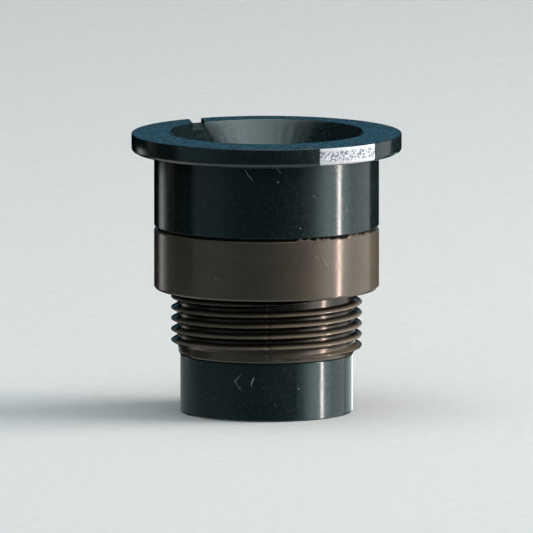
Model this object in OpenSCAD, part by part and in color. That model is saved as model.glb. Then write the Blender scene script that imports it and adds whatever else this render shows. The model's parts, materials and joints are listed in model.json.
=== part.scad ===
// Male-threaded spray nozzle of a pop-up sprinkler, in millimetres.
// It stands on its inlet sleeve: +Z is up, the origin is the centre of the sleeve's lower end,
// and the front is -Y. Angles round the axis are counted from +X, anticlockwise from above.

/* [Outside diameters] */
// Diameter of the flange round the bowl
flange_d = 22.4; // [21.8:0.1:23.2]
// Diameter of the barrel, shared by the cap and the body
barrel_d = 18.65; // [18.4:0.05:19.2]
// Major diameter of the male thread
thread_d = 15.85; // [15.75:0.05:16]
// Diameter of the plain collar below the thread
collar_d = 14.6; // [14.5:0.05:14.7]
// Diameter of the inlet sleeve
sleeve_d = 14.3; // [14:0.05:14.4]

/* [Heights] */
// Height of the inlet sleeve, from its lower end to the collar
sleeve_h = 4.9; // [4.7:0.1:5.2]
// Height of the collar and thread, up to the shoulder
neck_h = 5.4; // [5.4:0.1:5.8]
// Height of the body's barrel, from the shoulder to the seam under the cap
base_h = 5; // [4.9:0.1:5.4]
// Height of the cap's barrel, from the seam to the underside of the flange
cap_h = 6.4; // [6.3:0.05:6.9]
// Height of the flange, up to the lip of the bowl
flange_h = 1.65; // [1.4:0.05:1.8]

/* [Thread] */
// Axial distance from one crest to the next
thread_pitch = 0.907; // [0.9:0.001:0.92]
// Turns of thread, with the run-in and run-out
thread_turns = 5.1; // [4.5:0.05:5.2]
// Angle at which the lowest turn starts
thread_start = -90; // [-180:5:0]

/* [Bowl and spray] */
// Diameter of the bowl's mouth
bowl_d = 16.3; // [16:0.1:16.6]
// Diameter of the bowl's flat floor
floor_d = 7.4; // [7.2:0.1:7.8]
// Depth of the bowl
bowl_depth = 4.25; // [4.2:0.05:4.4]
// Angle that the spray window and the metering slot cover
spray_arc = 90; // [60:5:100]
// Direction of the middle of the spray
spray_dir = 121; // [90:1:150]
// Upward angle at which the water leaves the window
jet_rise = 28; // [20:1:30]
// Middle of the marking patch on the flange's edge
mark_dir = -52; // [-90:1:0]

/* [Radius screw] */
// Major diameter of the screw
screw_d = 3.5; // [3.4:0.05:3.5]
// Pitch of the screw's thread
screw_pitch = 0.794; // [0.7:0.001:0.8]
// Turns from fully open to shut
screw_turns = 2.5; // [2:0.1:2.5]
// Diameter of the screw's head
head_d = 5.5; // [5.2:0.1:5.6]

/* [Hidden] */
$fn = 96;

// Outside radii
flange_r = flange_d / 2;
barrel_r = barrel_d / 2;
thread_r = thread_d / 2;
collar_r = collar_d / 2;
sleeve_r = sleeve_d / 2;
bowl_r = bowl_d / 2;
floor_r = floor_d / 2;
screw_r = screw_d / 2;
head_r = head_d / 2;

// Levels of the outside, from the sleeve's lower end up
collar_z = sleeve_h;
shoulder_z = collar_z + neck_h;
seam_z = shoulder_z + base_h;
flange_z = seam_z + cap_h;
top_z = flange_z + flange_h;
bowl_floor_z = top_z - bowl_depth;

// Small amounts
over = 0.5;             // how far a cutter runs past the face that it opens
edge = 0.12;            // chamfer on the moulded outside edges
seam_groove = 0.3;      // chamfer on the cap's lower edge, which leaves a groove over the body
lower_round = 0.25;     // rounding under the body's barrel and collar
gap = 0.05;             // clearance between pieces that don't touch
running_gap = 0.06;     // radial clearance of the turning and sliding fits
bite = 0.3;             // how far a key or lug is sunk into its wall
thread_angle = 30;      // slope of a thread's flank from square to the axis
crest_flat = 0.12;      // width of the flat along a thread's crest
body_steps = 72;        // stations in one turn of the male thread
screw_steps = 36;       // stations in one turn of the screw's thread

// Male thread
thread_depth = 0.555;
root_r = thread_r - thread_depth;
thread_foot_z = collar_z + 0.38;    // height of the crest where the thread starts
relief_h = 0.3;
relief_depth = 0.12;
relief_r = root_r - relief_depth;
run_in = 80;
run_out = 55;
seat_in_r = thread_r + 0.1;         // inner edge of the shoulder's seat, clear of the crests
seat_recess_h = 0.12;

// Inner levels of the body
chamber_z = shoulder_z - 1.3;
deck_z = shoulder_z + 2.6;
deck_h = 1;
plate_z = deck_z + deck_h;
plate_h = 1;
spigot_z = plate_z + plate_h;

// Inner radii of the body
inlet_r = 6.2;
chamber_r = 5.8;
recess_r = 8.25;
plate_r = recess_r - gap;
shaft_hole_r = screw_r + 0.1;
port_in_r = 2.6;
port_out_r = 5;
core_in_r = 6.8;
core_out_r = 7.6;
core_z = shoulder_z + 1.1;
core_ribs = 6;
key_angles = [100, 180, 260];
key_w = 0.9;
key_in_r = 4.7;
lug_w = 1;
lug_h = plate_h - 0.1;
lug_in_r = 7.75;
lug_angles = [-90, 90];

// Inside of the cap
clip_pocket_r = 3.4;
clip_pocket_h = 0.85;
hub_floor_h = 0.75;
gland_r = head_r;
gland_z = spigot_z + clip_pocket_h + hub_floor_h;
head_pocket_r = head_r + 0.25;
head_h = 1.4;
head_z = bowl_floor_z - head_h;
ramp_in_r = 4.2;
ramp_in_z = spigot_z + 0.4;
void_in_r = 4.4;
void_out_r = 7.2;
bowl_wall = 1.3;
void_arc = 78;
void_pitch = 89;
rim_rise = 0.12;        // from the flange's upper edge to the lip of the bowl
flange_round = 0.35;    // rounding of the flange's lower edge
notch_w = 1.05;
notch_depth = 0.5;
notch_dir = 95;
notch_x = -5.8;         // middle of the notch, half-way across the rim
notch_y = 7.7;
notch_length = 8;

// Sleeve, screen and flow control stack
stack_r = inlet_r - gap;
screen_seat_r = 6;
screen_seat_h = 1.1;
sleeve_bore_r = 5.3;
spigot_top_z = collar_z + 1.7;
cage_floor_h = 0.5;
cage_wall_r = 5.3;
disc_r = 4.9;
disc_h = 0.88;
disc_hole_r = 1.1;
disc_gap = 0.02;
disc_play = 0.15;
disc_z = spigot_top_z + cage_floor_h + disc_gap;
seat_z = disc_z + disc_h + disc_play;
orifice_r = 1.5;
nib_h = 0.1;
nib_w = 0.5;
nib_in_r = 2.4;
nib_out_r = 4.4;
nib_count = 6;
screen_r = 4.3;
screen_wall = 0.15;
screen_top_z = 5.6;
screen_ring_z = 0.3;
frame_t = 0.35;
frame_ribs = 6;
rib_arc = 9;
hoop_h = 0.5;

// Radius screw and throttle plug
travel = screw_turns * screw_pitch;
plug_r = port_out_r + 0.15;
plug_disc_h = 0.9;
plug_h = 1.75;
plug_hub_r = 3;
plug_top_z = deck_z - gap - travel;
screw_tip_z = chamber_z + 0.25;
slot_w = 0.8;
slot_h = 0.75;
clip_r = 2.9;
clip_h = 0.4;
clip_z = spigot_z + clip_pocket_h - gap - clip_h;
groove_r = 1.4;
screw_root_r = screw_r - 0.48;
screw_fade_h = 0.45;    // from the ends of the screw's core to the first and last crest
screw_crest_z = screw_tip_z + screw_fade_h;
screw_thread_top_z = clip_z - 0.5;
screw_fade = 60;

// Points of an arc from angle a0 to a1 round [x, y]
function arc_points(x, y, r, a0, a1, n = 5) =
    [for (i = [0:n]) let (a = a0 + (a1 - a0) * i / n) [x + r * cos(a), y + r * sin(a)]];

// The flange's edge moved outwards by grow, from angle -a under it to angle a over it, in n steps each
function flange_edge_points(grow, a, n) = concat(
    arc_points(flange_r - flange_round, flange_z + flange_round, flange_round + grow, -a, 0, n),
    arc_points(flange_r - edge, top_z - rim_rise - edge, edge + grow, 0, a, n)
);

// One cross-section of a thread: lower foot, crest and upper foot, turned to angle a
function thread_section(a, z, foot_r, crest_r) =
    let (
        half_crest = crest_flat / 2,
        half_foot = half_crest + (crest_r - foot_r) * tan(thread_angle),
        rz = [
            [foot_r, z - half_foot], [crest_r, z - half_crest],
            [crest_r, z + half_crest], [foot_r, z + half_foot]
        ]
    )
    [for (p = rz) [p[0] * cos(a), p[0] * sin(a), p[1]]];

// Right-hand helical ridge that stands on a core of radius core_r, from angle a0 to a1.
// Its crest starts at height z0, and sinks into the core over the last angles at each end.
module thread_ridge(core_r, crest_r, pitch, z0, a0, a1, fade_in, fade_out, steps) {
    sunk_r = core_r - 0.05;
    foot_r = core_r - 0.08;
    count = ceil((a1 - a0) / 360 * steps);
    sections = [
        for (i = [0:count])
        let (
            a = a0 + (a1 - a0) * i / count,
            rise = min(1, (a - a0) / fade_in, (a1 - a) / fade_out),
            z = z0 + pitch * (a - a0) / 360
        )
        each thread_section(a, z, foot_r, sunk_r + (crest_r - sunk_r) * rise)
    ];
    sides = [
        for (i = [0:count - 1], k = [0:3])
        let (p = 4 * i + k, q = 4 * i + (k + 1) % 4)
        each [[p, q + 4, p + 4], [p, q, q + 4]]
    ];
    last = 4 * count;
    polyhedron(
        points = sections,
        faces = concat([[3, 2, 1, 0]], sides, [[last, last + 1, last + 2, last + 3]])
    );
}

// Ring sector between two radii, centred on direction dir
module sector(inner_r, outer_r, z, h, dir, arc) {
    rotate([0, 0, dir - arc / 2])
        translate([0, 0, z])
            rotate_extrude(angle = arc)
                translate([inner_r, 0])
                    square([outer_r - inner_r, h]);
}

// Radial bar from inner_r to outer_r, centred on direction dir
module radial_bar(inner_r, outer_r, w, z, h, dir) {
    rotate([0, 0, dir])
        translate([inner_r, -w / 2, z])
            cube([outer_r - inner_r, w, h]);
}

// Plain round hole or shaft about the axis
module rod(r, z, h) {
    translate([0, 0, z])
        cylinder(r = r, h = h);
}

// Outline of the cap's outer skin: barrel, fillet, flange, domed rim, bowl and floor
module cap_profile() {
    lip = 0.3;
    fillet = 0.25;
    polygon(concat(
        [[0, spigot_z], [plate_r, spigot_z], [plate_r, seam_z]],
        [[barrel_r - seam_groove, seam_z], [barrel_r, seam_z + seam_groove]],
        arc_points(barrel_r + fillet, flange_z - fillet, fillet, 180, 90),
        flange_edge_points(0, 90, 5),
        arc_points(bowl_r + lip, top_z - lip, lip, 90, 136),
        [[floor_r, bowl_floor_z], [0, bowl_floor_z]]
    ));
}

// Hollow that lightens the cap, under the bowl's wall
module void_profile() {
    slope = bowl_depth / (bowl_r - floor_r);
    drop = bowl_wall * sqrt(1 + slope * slope);
    top_at = function(r) top_z - (bowl_r - r) * slope - drop;
    polygon([
        [void_in_r, spigot_z - over], [void_out_r, spigot_z - over],
        [void_out_r, top_at(void_out_r)], [void_in_r, top_at(void_in_r)]
    ]);
}

// Hollow that the water crosses: its roof is the ramp that throws the water out
module ramp_profile() {
    outer = barrel_r + 1;
    polygon([
        [ramp_in_r, spigot_z - over], [outer, spigot_z - over],
        [outer, ramp_in_z + (outer - ramp_in_r) * tan(jet_rise)], [ramp_in_r, ramp_in_z]
    ]);
}

module deflector_cap() {
    color([0.07, 0.11, 0.12])
        difference() {
            rotate_extrude() cap_profile();
            // shaft hole, clip pocket, O-ring gland and head pocket
            rod(screw_r + running_gap, spigot_z, top_z - spigot_z);
            rod(clip_pocket_r, spigot_z - over, clip_pocket_h + over);
            rod(gland_r, gland_z, head_h + over);
            rod(head_pocket_r, head_z - gap, head_h + over);
            rotate([0, 0, spray_dir - spray_arc / 2])
                rotate_extrude(angle = spray_arc) ramp_profile();
            for (i = [-1:1])
                rotate([0, 0, spray_dir + 180 + i * void_pitch - void_arc / 2])
                    rotate_extrude(angle = void_arc) void_profile();
            // straight notch across the rim, at the side of the spray
            translate([notch_x, notch_y, 0])
                radial_bar(
                    -notch_length / 2, notch_length / 2, notch_w, top_z - notch_depth, 1, notch_dir
                );
        }
}

// Outline of the body: collar, thread core, relief, shoulder and barrel round the inner steps
module body_profile() {
    polygon(concat(
        [[inlet_r, collar_z]],
        arc_points(collar_r - lower_round, collar_z + lower_round, lower_round, -90, 0),
        [[root_r, thread_foot_z]],
        [[root_r, shoulder_z - relief_h - relief_depth], [relief_r, shoulder_z - relief_h]],
        [[relief_r, shoulder_z + seat_recess_h], [seat_in_r, shoulder_z + seat_recess_h]],
        [[seat_in_r, shoulder_z]],
        arc_points(barrel_r - lower_round, shoulder_z + lower_round, lower_round, -90, 0),
        [[barrel_r, seam_z - edge], [barrel_r - edge, seam_z]],
        [[recess_r, seam_z], [recess_r, plate_z], [shaft_hole_r, plate_z]],
        [[shaft_hole_r, deck_z], [chamber_r, deck_z], [chamber_r, chamber_z]],
        [[inlet_r, chamber_z]]
    ));
}

module threaded_body() {
    thread_end = thread_start + thread_turns * 360;
    color([0.28, 0.25, 0.22]) {
        difference() {
            union() {
                rotate_extrude() body_profile();
                thread_ridge(
                    root_r, thread_r, thread_pitch, thread_foot_z,
                    thread_start, thread_end, run_in, run_out, body_steps
                );
                // keys that stop the throttle plug from turning
                for (a = key_angles)
                    radial_bar(
                        key_in_r, chamber_r + bite, key_w, chamber_z, deck_z - chamber_z + bite,
                        spray_dir + a
                    );
                // lugs that set the pattern plate's direction
                for (a = lug_angles)
                    radial_bar(
                        lug_in_r, recess_r + bite, lug_w, plate_z - bite, lug_h + bite, spray_dir + a
                    );
            }
            sector(port_in_r, port_out_r, deck_z - over, deck_h + 2 * over, spray_dir, spray_arc - 6);
            for (i = [0:core_ribs - 1])
                sector(core_in_r, core_out_r, core_z, plate_z - core_z + over, spray_dir + i * 60, 50);
        }
    }
}

module lower_sleeve() {
    color([0.09, 0.13, 0.14])
        rotate_extrude()
            polygon([
                [screen_seat_r, 0], [sleeve_r - edge, 0], [sleeve_r, edge],
                [sleeve_r, collar_z - edge], [sleeve_r - edge, collar_z], [inlet_r, collar_z],
                [inlet_r, spigot_top_z], [sleeve_bore_r, spigot_top_z],
                [sleeve_bore_r, screen_seat_h], [screen_seat_r, screen_seat_h]
            ]);
}

// Thin stamped patch that wraps over the flange's edge
module marking_patch() {
    patch_t = 0.05;
    patch_arc = 30;
    wrap = 54;
    outer = flange_edge_points(patch_t, wrap, 3);
    color([0.78, 0.8, 0.84])
        rotate([0, 0, mark_dir - patch_arc / 2])
            rotate_extrude(angle = patch_arc)
                polygon(concat(
                    flange_edge_points(0, wrap, 3),
                    [for (i = [len(outer) - 1:-1:0]) outer[i]]
                ));
}

// Plate whose arc-shaped slot meters the water
module pattern_plate() {
    slot_in_r = 4.45;
    slot_out_r = 4.95;
    color([0.2, 0.22, 0.24])
        difference() {
            rod(plate_r, plate_z, plate_h);
            rod(shaft_hole_r, plate_z - over, plate_h + 2 * over);
            sector(slot_in_r, slot_out_r, plate_z - over, plate_h + 2 * over, spray_dir, spray_arc - 8);
            for (a = lug_angles)
                radial_bar(
                    lug_in_r - gap, plate_r + 1, lug_w + 2 * gap, plate_z - over, plate_h + 2 * over,
                    spray_dir + a
                );
        }
}

// Captive slotted screw; its head fills the pocket in the bowl's floor
module radius_screw() {
    ridge_turns = floor((screw_thread_top_z - screw_fade_h - screw_crest_z) / screw_pitch);
    color([0.75, 0.76, 0.78])
        difference() {
            union() {
                rotate_extrude()
                    polygon([
                        [0, screw_tip_z], [screw_root_r - 0.2, screw_tip_z],
                        [screw_root_r, screw_tip_z + 0.2], [screw_root_r, screw_thread_top_z - 0.3],
                        [screw_r, screw_thread_top_z], [screw_r, clip_z],
                        [groove_r, clip_z], [groove_r, clip_z + clip_h],
                        [screw_r, clip_z + clip_h], [screw_r, head_z], [head_r, head_z],
                        [head_r, bowl_floor_z - 0.25], [head_r - 0.25, bowl_floor_z],
                        [0, bowl_floor_z]
                    ]);
                thread_ridge(
                    screw_root_r, screw_r, screw_pitch, screw_crest_z,
                    0, ridge_turns * 360, screw_fade, screw_fade, screw_steps
                );
            }
            translate([-head_r - over, -slot_w / 2, bowl_floor_z - slot_h])
                cube([2 * head_r + 2 * over, slot_w, slot_h + over]);
        }
}

module screw_o_ring() {
    section_r = (gland_r - screw_r - running_gap) / 2;
    color([0.06, 0.06, 0.06])
        translate([0, 0, gland_z + section_r])
            rotate_extrude()
                translate([screw_r + running_gap + section_r, 0])
                    circle(r = section_r, $fn = 48);
}

// E-shaped clip in the screw's groove, which keeps the screw in the cap
module screw_clip() {
    mouth_w = 2.3;
    corner_r = 0.55;
    color([0.62, 0.63, 0.65])
        difference() {
            rod(clip_r, clip_z, clip_h);
            rod(groove_r, clip_z - over, clip_h + 2 * over);
            radial_bar(0, clip_r + 1, mouth_w, clip_z - over, clip_h + 2 * over, 0);
            for (a = [125, 235])
                translate([groove_r * cos(a), groove_r * sin(a), clip_z - over])
                    cylinder(r = corner_r, h = clip_h + 2 * over, $fn = 32);
        }
}

// Plug on the screw's thread; it rises to cover the port in the body's deck
module throttle_plug() {
    key_gap = 0.1;
    foot_z = plug_top_z - plug_h;
    // the thread that is cut starts two turns below the screw's own first crest, in step with it
    cut_turns = ceil(plug_h / screw_pitch) + 2;
    color([0.88, 0.87, 0.82])
        difference() {
            union() {
                rod(plug_r, plug_top_z - plug_disc_h, plug_disc_h);
                rod(plug_hub_r, foot_z, plug_h);
            }
            rod(screw_root_r + running_gap, foot_z - over, plug_h + 2 * over);
            thread_ridge(
                screw_root_r + running_gap, screw_r + running_gap, screw_pitch,
                screw_crest_z - 2 * screw_pitch, 0, cut_turns * 360, screw_fade, screw_fade, screw_steps
            );
            for (a = key_angles)
                radial_bar(
                    key_in_r - key_gap, plug_r + 1, key_w + 2 * key_gap,
                    foot_z - over, plug_h + 2 * over, spray_dir + a
                );
        }
}

// Plate over the flow disc, with a central orifice and short nibs round it
module disc_seat() {
    color([0.85, 0.84, 0.8])
        difference() {
            union() {
                rod(stack_r, seat_z, chamber_z - seat_z);
                for (i = [0:nib_count - 1])
                    radial_bar(
                        nib_in_r, nib_out_r, nib_w, seat_z - nib_h, nib_h + bite, i * 360 / nib_count
                    );
            }
            rod(orifice_r, seat_z - over, chamber_z - seat_z + 2 * over);
        }
}

// Rubber disc that bends towards the orifice as the pressure rises
module flow_disc() {
    color([0.55, 0.2, 0.15])
        difference() {
            rod(disc_r, disc_z, disc_h);
            rod(disc_hole_r, disc_z - over, disc_h + 2 * over);
        }
}

// Ring with a cross that carries the flow disc
module disc_cage() {
    bar_w = 0.7;
    color([0.85, 0.84, 0.8])
        union() {
            difference() {
                rod(stack_r, spigot_top_z, seat_z - spigot_top_z);
                rod(cage_wall_r, spigot_top_z - over, seat_z - spigot_top_z + 2 * over);
            }
            for (a = [0, 90])
                rotate([0, 0, a])
                    translate([-cage_wall_r - bite, -bar_w / 2, spigot_top_z])
                        cube([2 * (cage_wall_r + bite), bar_w, cage_floor_h]);
        }
}

// Frame of the inlet screen: a base ring and a tube with two rows of windows
module screen_frame() {
    outer_r = screen_r + frame_t;
    base_top_z = screen_seat_h;
    row_h = (screen_top_z - base_top_z - 2 * hoop_h) / 2;
    window_arc = 360 / frame_ribs - rib_arc;
    color([0.12, 0.16, 0.18])
        difference() {
            rotate_extrude()
                polygon([
                    [screen_r, screen_ring_z], [screen_seat_r, screen_ring_z],
                    [screen_seat_r, base_top_z], [outer_r, base_top_z],
                    [outer_r, screen_top_z], [screen_r, screen_top_z]
                ]);
            for (row = [0:1], i = [0:frame_ribs - 1])
                sector(
                    screen_r - over, outer_r + over, base_top_z + row * (row_h + hoop_h), row_h,
                    i * 360 / frame_ribs, window_arc
                );
        }
}

// Fine screen, a thimble closed at its top
module screen_mesh() {
    color([0.66, 0.67, 0.7])
        difference() {
            rod(screen_r, screen_ring_z, screen_top_z - screen_ring_z);
            rod(
                screen_r - screen_wall, screen_ring_z - over,
                screen_top_z - screen_ring_z + over - screen_wall
            );
        }
}

deflector_cap();
threaded_body();
lower_sleeve();
marking_patch();
pattern_plate();
radius_screw();
screw_o_ring();
screw_clip();
throttle_plug();
disc_seat();
flow_disc();
disc_cage();
screen_frame();
screen_mesh();
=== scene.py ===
"""Looks of a male-threaded spray nozzle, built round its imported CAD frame. Lengths are in metres."""

import json
import math
import random

import bmesh
import bpy
import numpy as np
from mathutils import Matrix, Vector


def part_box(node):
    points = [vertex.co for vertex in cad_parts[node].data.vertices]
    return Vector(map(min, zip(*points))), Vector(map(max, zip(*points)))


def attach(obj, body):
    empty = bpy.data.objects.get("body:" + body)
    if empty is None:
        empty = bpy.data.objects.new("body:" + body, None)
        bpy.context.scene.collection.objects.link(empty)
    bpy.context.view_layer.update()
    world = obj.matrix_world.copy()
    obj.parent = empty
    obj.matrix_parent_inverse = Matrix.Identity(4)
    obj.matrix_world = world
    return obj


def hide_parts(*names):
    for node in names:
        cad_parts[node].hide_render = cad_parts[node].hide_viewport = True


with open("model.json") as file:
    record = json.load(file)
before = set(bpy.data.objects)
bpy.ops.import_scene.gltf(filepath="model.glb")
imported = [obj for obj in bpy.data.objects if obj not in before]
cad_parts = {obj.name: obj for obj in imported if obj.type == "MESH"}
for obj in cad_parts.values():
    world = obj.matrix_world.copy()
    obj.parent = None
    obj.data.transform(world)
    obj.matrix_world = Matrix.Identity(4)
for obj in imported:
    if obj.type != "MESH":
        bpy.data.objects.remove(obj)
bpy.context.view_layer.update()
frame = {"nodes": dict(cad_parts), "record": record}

# ---------------------------------------------------------------- sizes

MM = 0.001
FRONT = math.radians(-90)

mounts = {m["name"]: m for m in frame["record"]["mounts"]}
cap_low, cap_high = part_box("deflector_cap")
body_low, body_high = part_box("threaded_body")
sleeve_low, sleeve_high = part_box("lower_sleeve")
screw_low, screw_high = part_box("radius_screw")
plate_low, plate_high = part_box("pattern_plate")
seat_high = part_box("disc_seat")[1]
ring_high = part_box("screen_frame")[1]

# Levels, from the lip of the bowl down
TOP_Z = cap_high.z
RIM_Z = TOP_Z - 0.12 * MM
FLANGE_Z = TOP_Z - 1.65 * MM
BOWL_FLOOR_Z = screw_high.z
SEAM_Z = body_high.z
PLATE_TOP_Z = plate_high.z
PLATE_Z = plate_low.z
SHOULDER_Z = mounts["shoulder_seat"]["pos_m"][2]
COLLAR_Z = body_low.z
CHAMBER_Z = seat_high.z
DECK_Z = PLATE_Z - 1 * MM

# Radii
FLANGE_R = cap_high.x
BARREL_R = body_high.x
SLEEVE_R = sleeve_high.x
HEAD_R = screw_high.x
PLATE_R = plate_high.x
BOWL_R = 8.15 * MM
FLOOR_R = 3.7 * MM
COLLAR_R = 7.3 * MM
CREST_R = 7.925 * MM
ROOT_R = 7.37 * MM
RECESS_R = 8.25 * MM
CHAMBER_R = 5.8 * MM
INLET_R = 6.2 * MM
SEAT_R = 8.025 * MM
SHAFT_R = 1.75 * MM

# Roundings of the outer edges, and the chamfer over the seam
FLANGE_ROUND = 0.35 * MM
RIM_ROUND = 0.06 * MM
SEAM_GROOVE = 0.32 * MM
LOWER_ROUND = 0.25 * MM

# Straight notch across the rim
NOTCH_MIDDLE = (-5.8 * MM, 7.7 * MM)
NOTCH_LENGTH = 8 * MM
NOTCH_WIDTH = 1.05 * MM
NOTCH_DEPTH = 0.5 * MM
NOTCH_DIR = math.radians(95)

# Spray window, at the back
SPRAY_DIR = math.radians(121)
SPRAY_ARC = math.radians(90)
EVEN_ANGLES = np.linspace(0, 2 * math.pi, 288, endpoint=False)


# ---------------------------------------------------------------- mesh helpers

def make_object(name, vertices, faces, uvs=None):
    """Mesh object with smooth faces; uvs has one pair for each face corner, in millimetres."""
    mesh = bpy.data.meshes.new(name)
    mesh.from_pydata([tuple(v) for v in vertices], [], faces)
    if uvs is not None:
        layer = mesh.uv_layers.new(name="Around")
        layer.data.foreach_set("uv", np.asarray(uvs, dtype=np.float32).ravel())
    mesh.polygons.foreach_set("use_smooth", [True] * len(mesh.polygons))
    mesh.update()
    piece = bpy.data.objects.new(name, mesh)
    bpy.context.scene.collection.objects.link(piece)
    return piece


def rounded(corners, steps=5, closed=True):
    """Outline of (r, z) points through corners (r, z, rounding radius), with an arc at each."""
    points = []
    count = len(corners)
    for i, (r, z, size) in enumerate(corners):
        here = Vector((r, z))
        ends = not closed and i in (0, count - 1)
        if size <= 0 or ends:
            points.append((r, z))
            continue
        before = Vector(corners[i - 1][:2]) - here
        after = Vector(corners[(i + 1) % count][:2]) - here
        half = before.angle(after) / 2
        reach = min(size / math.tan(half), 0.45 * before.length, 0.45 * after.length)
        radius = reach * math.tan(half)
        before.normalize()
        after.normalize()
        centre = here + (before + after).normalized() * (radius / math.sin(half))
        start = here + before * reach - centre
        finish = here + after * reach - centre
        sweep = start.angle_signed(finish)
        for k in range(steps + 1):
            turn = -sweep * k / steps
            x = start.x * math.cos(turn) - start.y * math.sin(turn)
            y = start.x * math.sin(turn) + start.y * math.cos(turn)
            points.append((centre.x + x, centre.y + y))
    return points


def revolve(name, rings, angles=EVEN_ANGLES):
    """Closed skin of revolution. Each ring has its radius and height, or arrays of them by angle."""
    columns = len(angles)
    radius = np.array([np.broadcast_to(r, columns) for r, z in rings])
    height = np.array([np.broadcast_to(z, columns) for r, z in rings])
    points = np.stack([radius * np.cos(angles), radius * np.sin(angles), height], axis=2)
    count = len(rings)
    step = np.hypot(np.diff(radius[:, 0]), np.diff(height[:, 0]))
    length = np.concatenate([[0], np.cumsum(step)])
    turned = np.append(angles, angles[0] + 2 * math.pi)
    faces = []
    uvs = []
    for i in range(count):
        j = (i + 1) % count
        v0 = length[i] / MM
        v1 = v0 + (step[i] / MM if i < count - 1 else 0.1)
        around = float(radius[i].mean()) / MM
        for k in range(columns):
            m = (k + 1) % columns
            u0 = turned[k] * around
            u1 = turned[k + 1] * around
            faces.append((i * columns + k, i * columns + m, j * columns + m, j * columns + k))
            uvs += [(u0, v0), (u1, v0), (u1, v1), (u0, v1)]
    return make_object(name, points.reshape(-1, 3), faces, uvs)


def sector_mesh(outline, direction, arc, steps=48):
    """Solid that a closed (r, z) outline sweeps through an arc, as vertices and faces."""
    count = len(outline)
    vertices = []
    for i in range(steps + 1):
        a = direction - arc / 2 + arc * i / steps
        vertices += [(r * math.cos(a), r * math.sin(a), z) for r, z in outline]
    faces = []
    for i in range(steps):
        for k in range(count):
            m = (k + 1) % count
            base = i * count
            faces.append((base + k, base + count + k, base + count + m, base + m))
    faces.append(tuple(range(count)))
    faces.append(tuple(steps * count + k for k in reversed(range(count))))
    return vertices, faces


def bar_mesh(length, width, low, high, direction, middle):
    """Level bar about a middle point (x, y), as vertices and faces."""
    c, s = math.cos(direction), math.sin(direction)
    vertices = []
    for z in (low, high):
        for along, aside in ((-1, -1), (1, -1), (1, 1), (-1, 1)):
            x, y = along * length / 2, aside * width / 2
            vertices.append((middle[0] + x * c - y * s, middle[1] + x * s + y * c, z))
    faces = [(3, 2, 1, 0), (4, 5, 6, 7), (0, 1, 5, 4), (1, 2, 6, 5), (2, 3, 7, 6), (3, 0, 4, 7)]
    return vertices, faces


def cut(piece, solids):
    """Takes solids, each vertices and faces, out of the piece."""
    for i, (vertices, faces) in enumerate(solids):
        cutter = make_object(f"cutter_{i}", vertices, faces)
        fix = bmesh.new()
        fix.from_mesh(cutter.data)
        bmesh.ops.recalc_face_normals(fix, faces=fix.faces)
        fix.to_mesh(cutter.data)
        fix.free()
        modifier = piece.modifiers.new("cut", "BOOLEAN")
        modifier.object = cutter
        modifier.operation = "DIFFERENCE"
        modifier.solver = "MANIFOLD"
        apply_modifiers(piece)
        bpy.data.objects.remove(cutter)


def apply_modifiers(piece):
    """Replaces the piece's mesh by what its modifiers make of it."""
    graph = bpy.context.evaluated_depsgraph_get()
    made = bpy.data.meshes.new_from_object(piece.evaluated_get(graph))
    piece.modifiers.clear()
    piece.data = made


def finish_surface(piece, sharp_degrees=32):
    """Smooth shading that stays crisp over the sharp edges."""
    mesh = piece.data
    work = bmesh.new()
    work.from_mesh(mesh)
    bmesh.ops.recalc_face_normals(work, faces=work.faces)
    limit = math.radians(sharp_degrees)
    for face in work.faces:
        face.smooth = True
    for edge in work.edges:
        edge.smooth = len(edge.link_faces) == 2 and edge.calc_face_angle(0) < limit
    work.to_mesh(mesh)
    work.free()
    weighted = piece.modifiers.new("weighted", "WEIGHTED_NORMAL")
    weighted.keep_sharp = True
    weighted.weight = 60
    apply_modifiers(piece)


def finish_piece(piece, body, material, slot, *nodes):
    """Gives a piece its material, and sets it on its body in place of its CAD nodes."""
    piece.data.materials.clear()
    piece.data.materials.append(material)
    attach(piece, body)
    if nodes:
        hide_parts(*nodes)


# ---------------------------------------------------------------- materials

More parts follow.
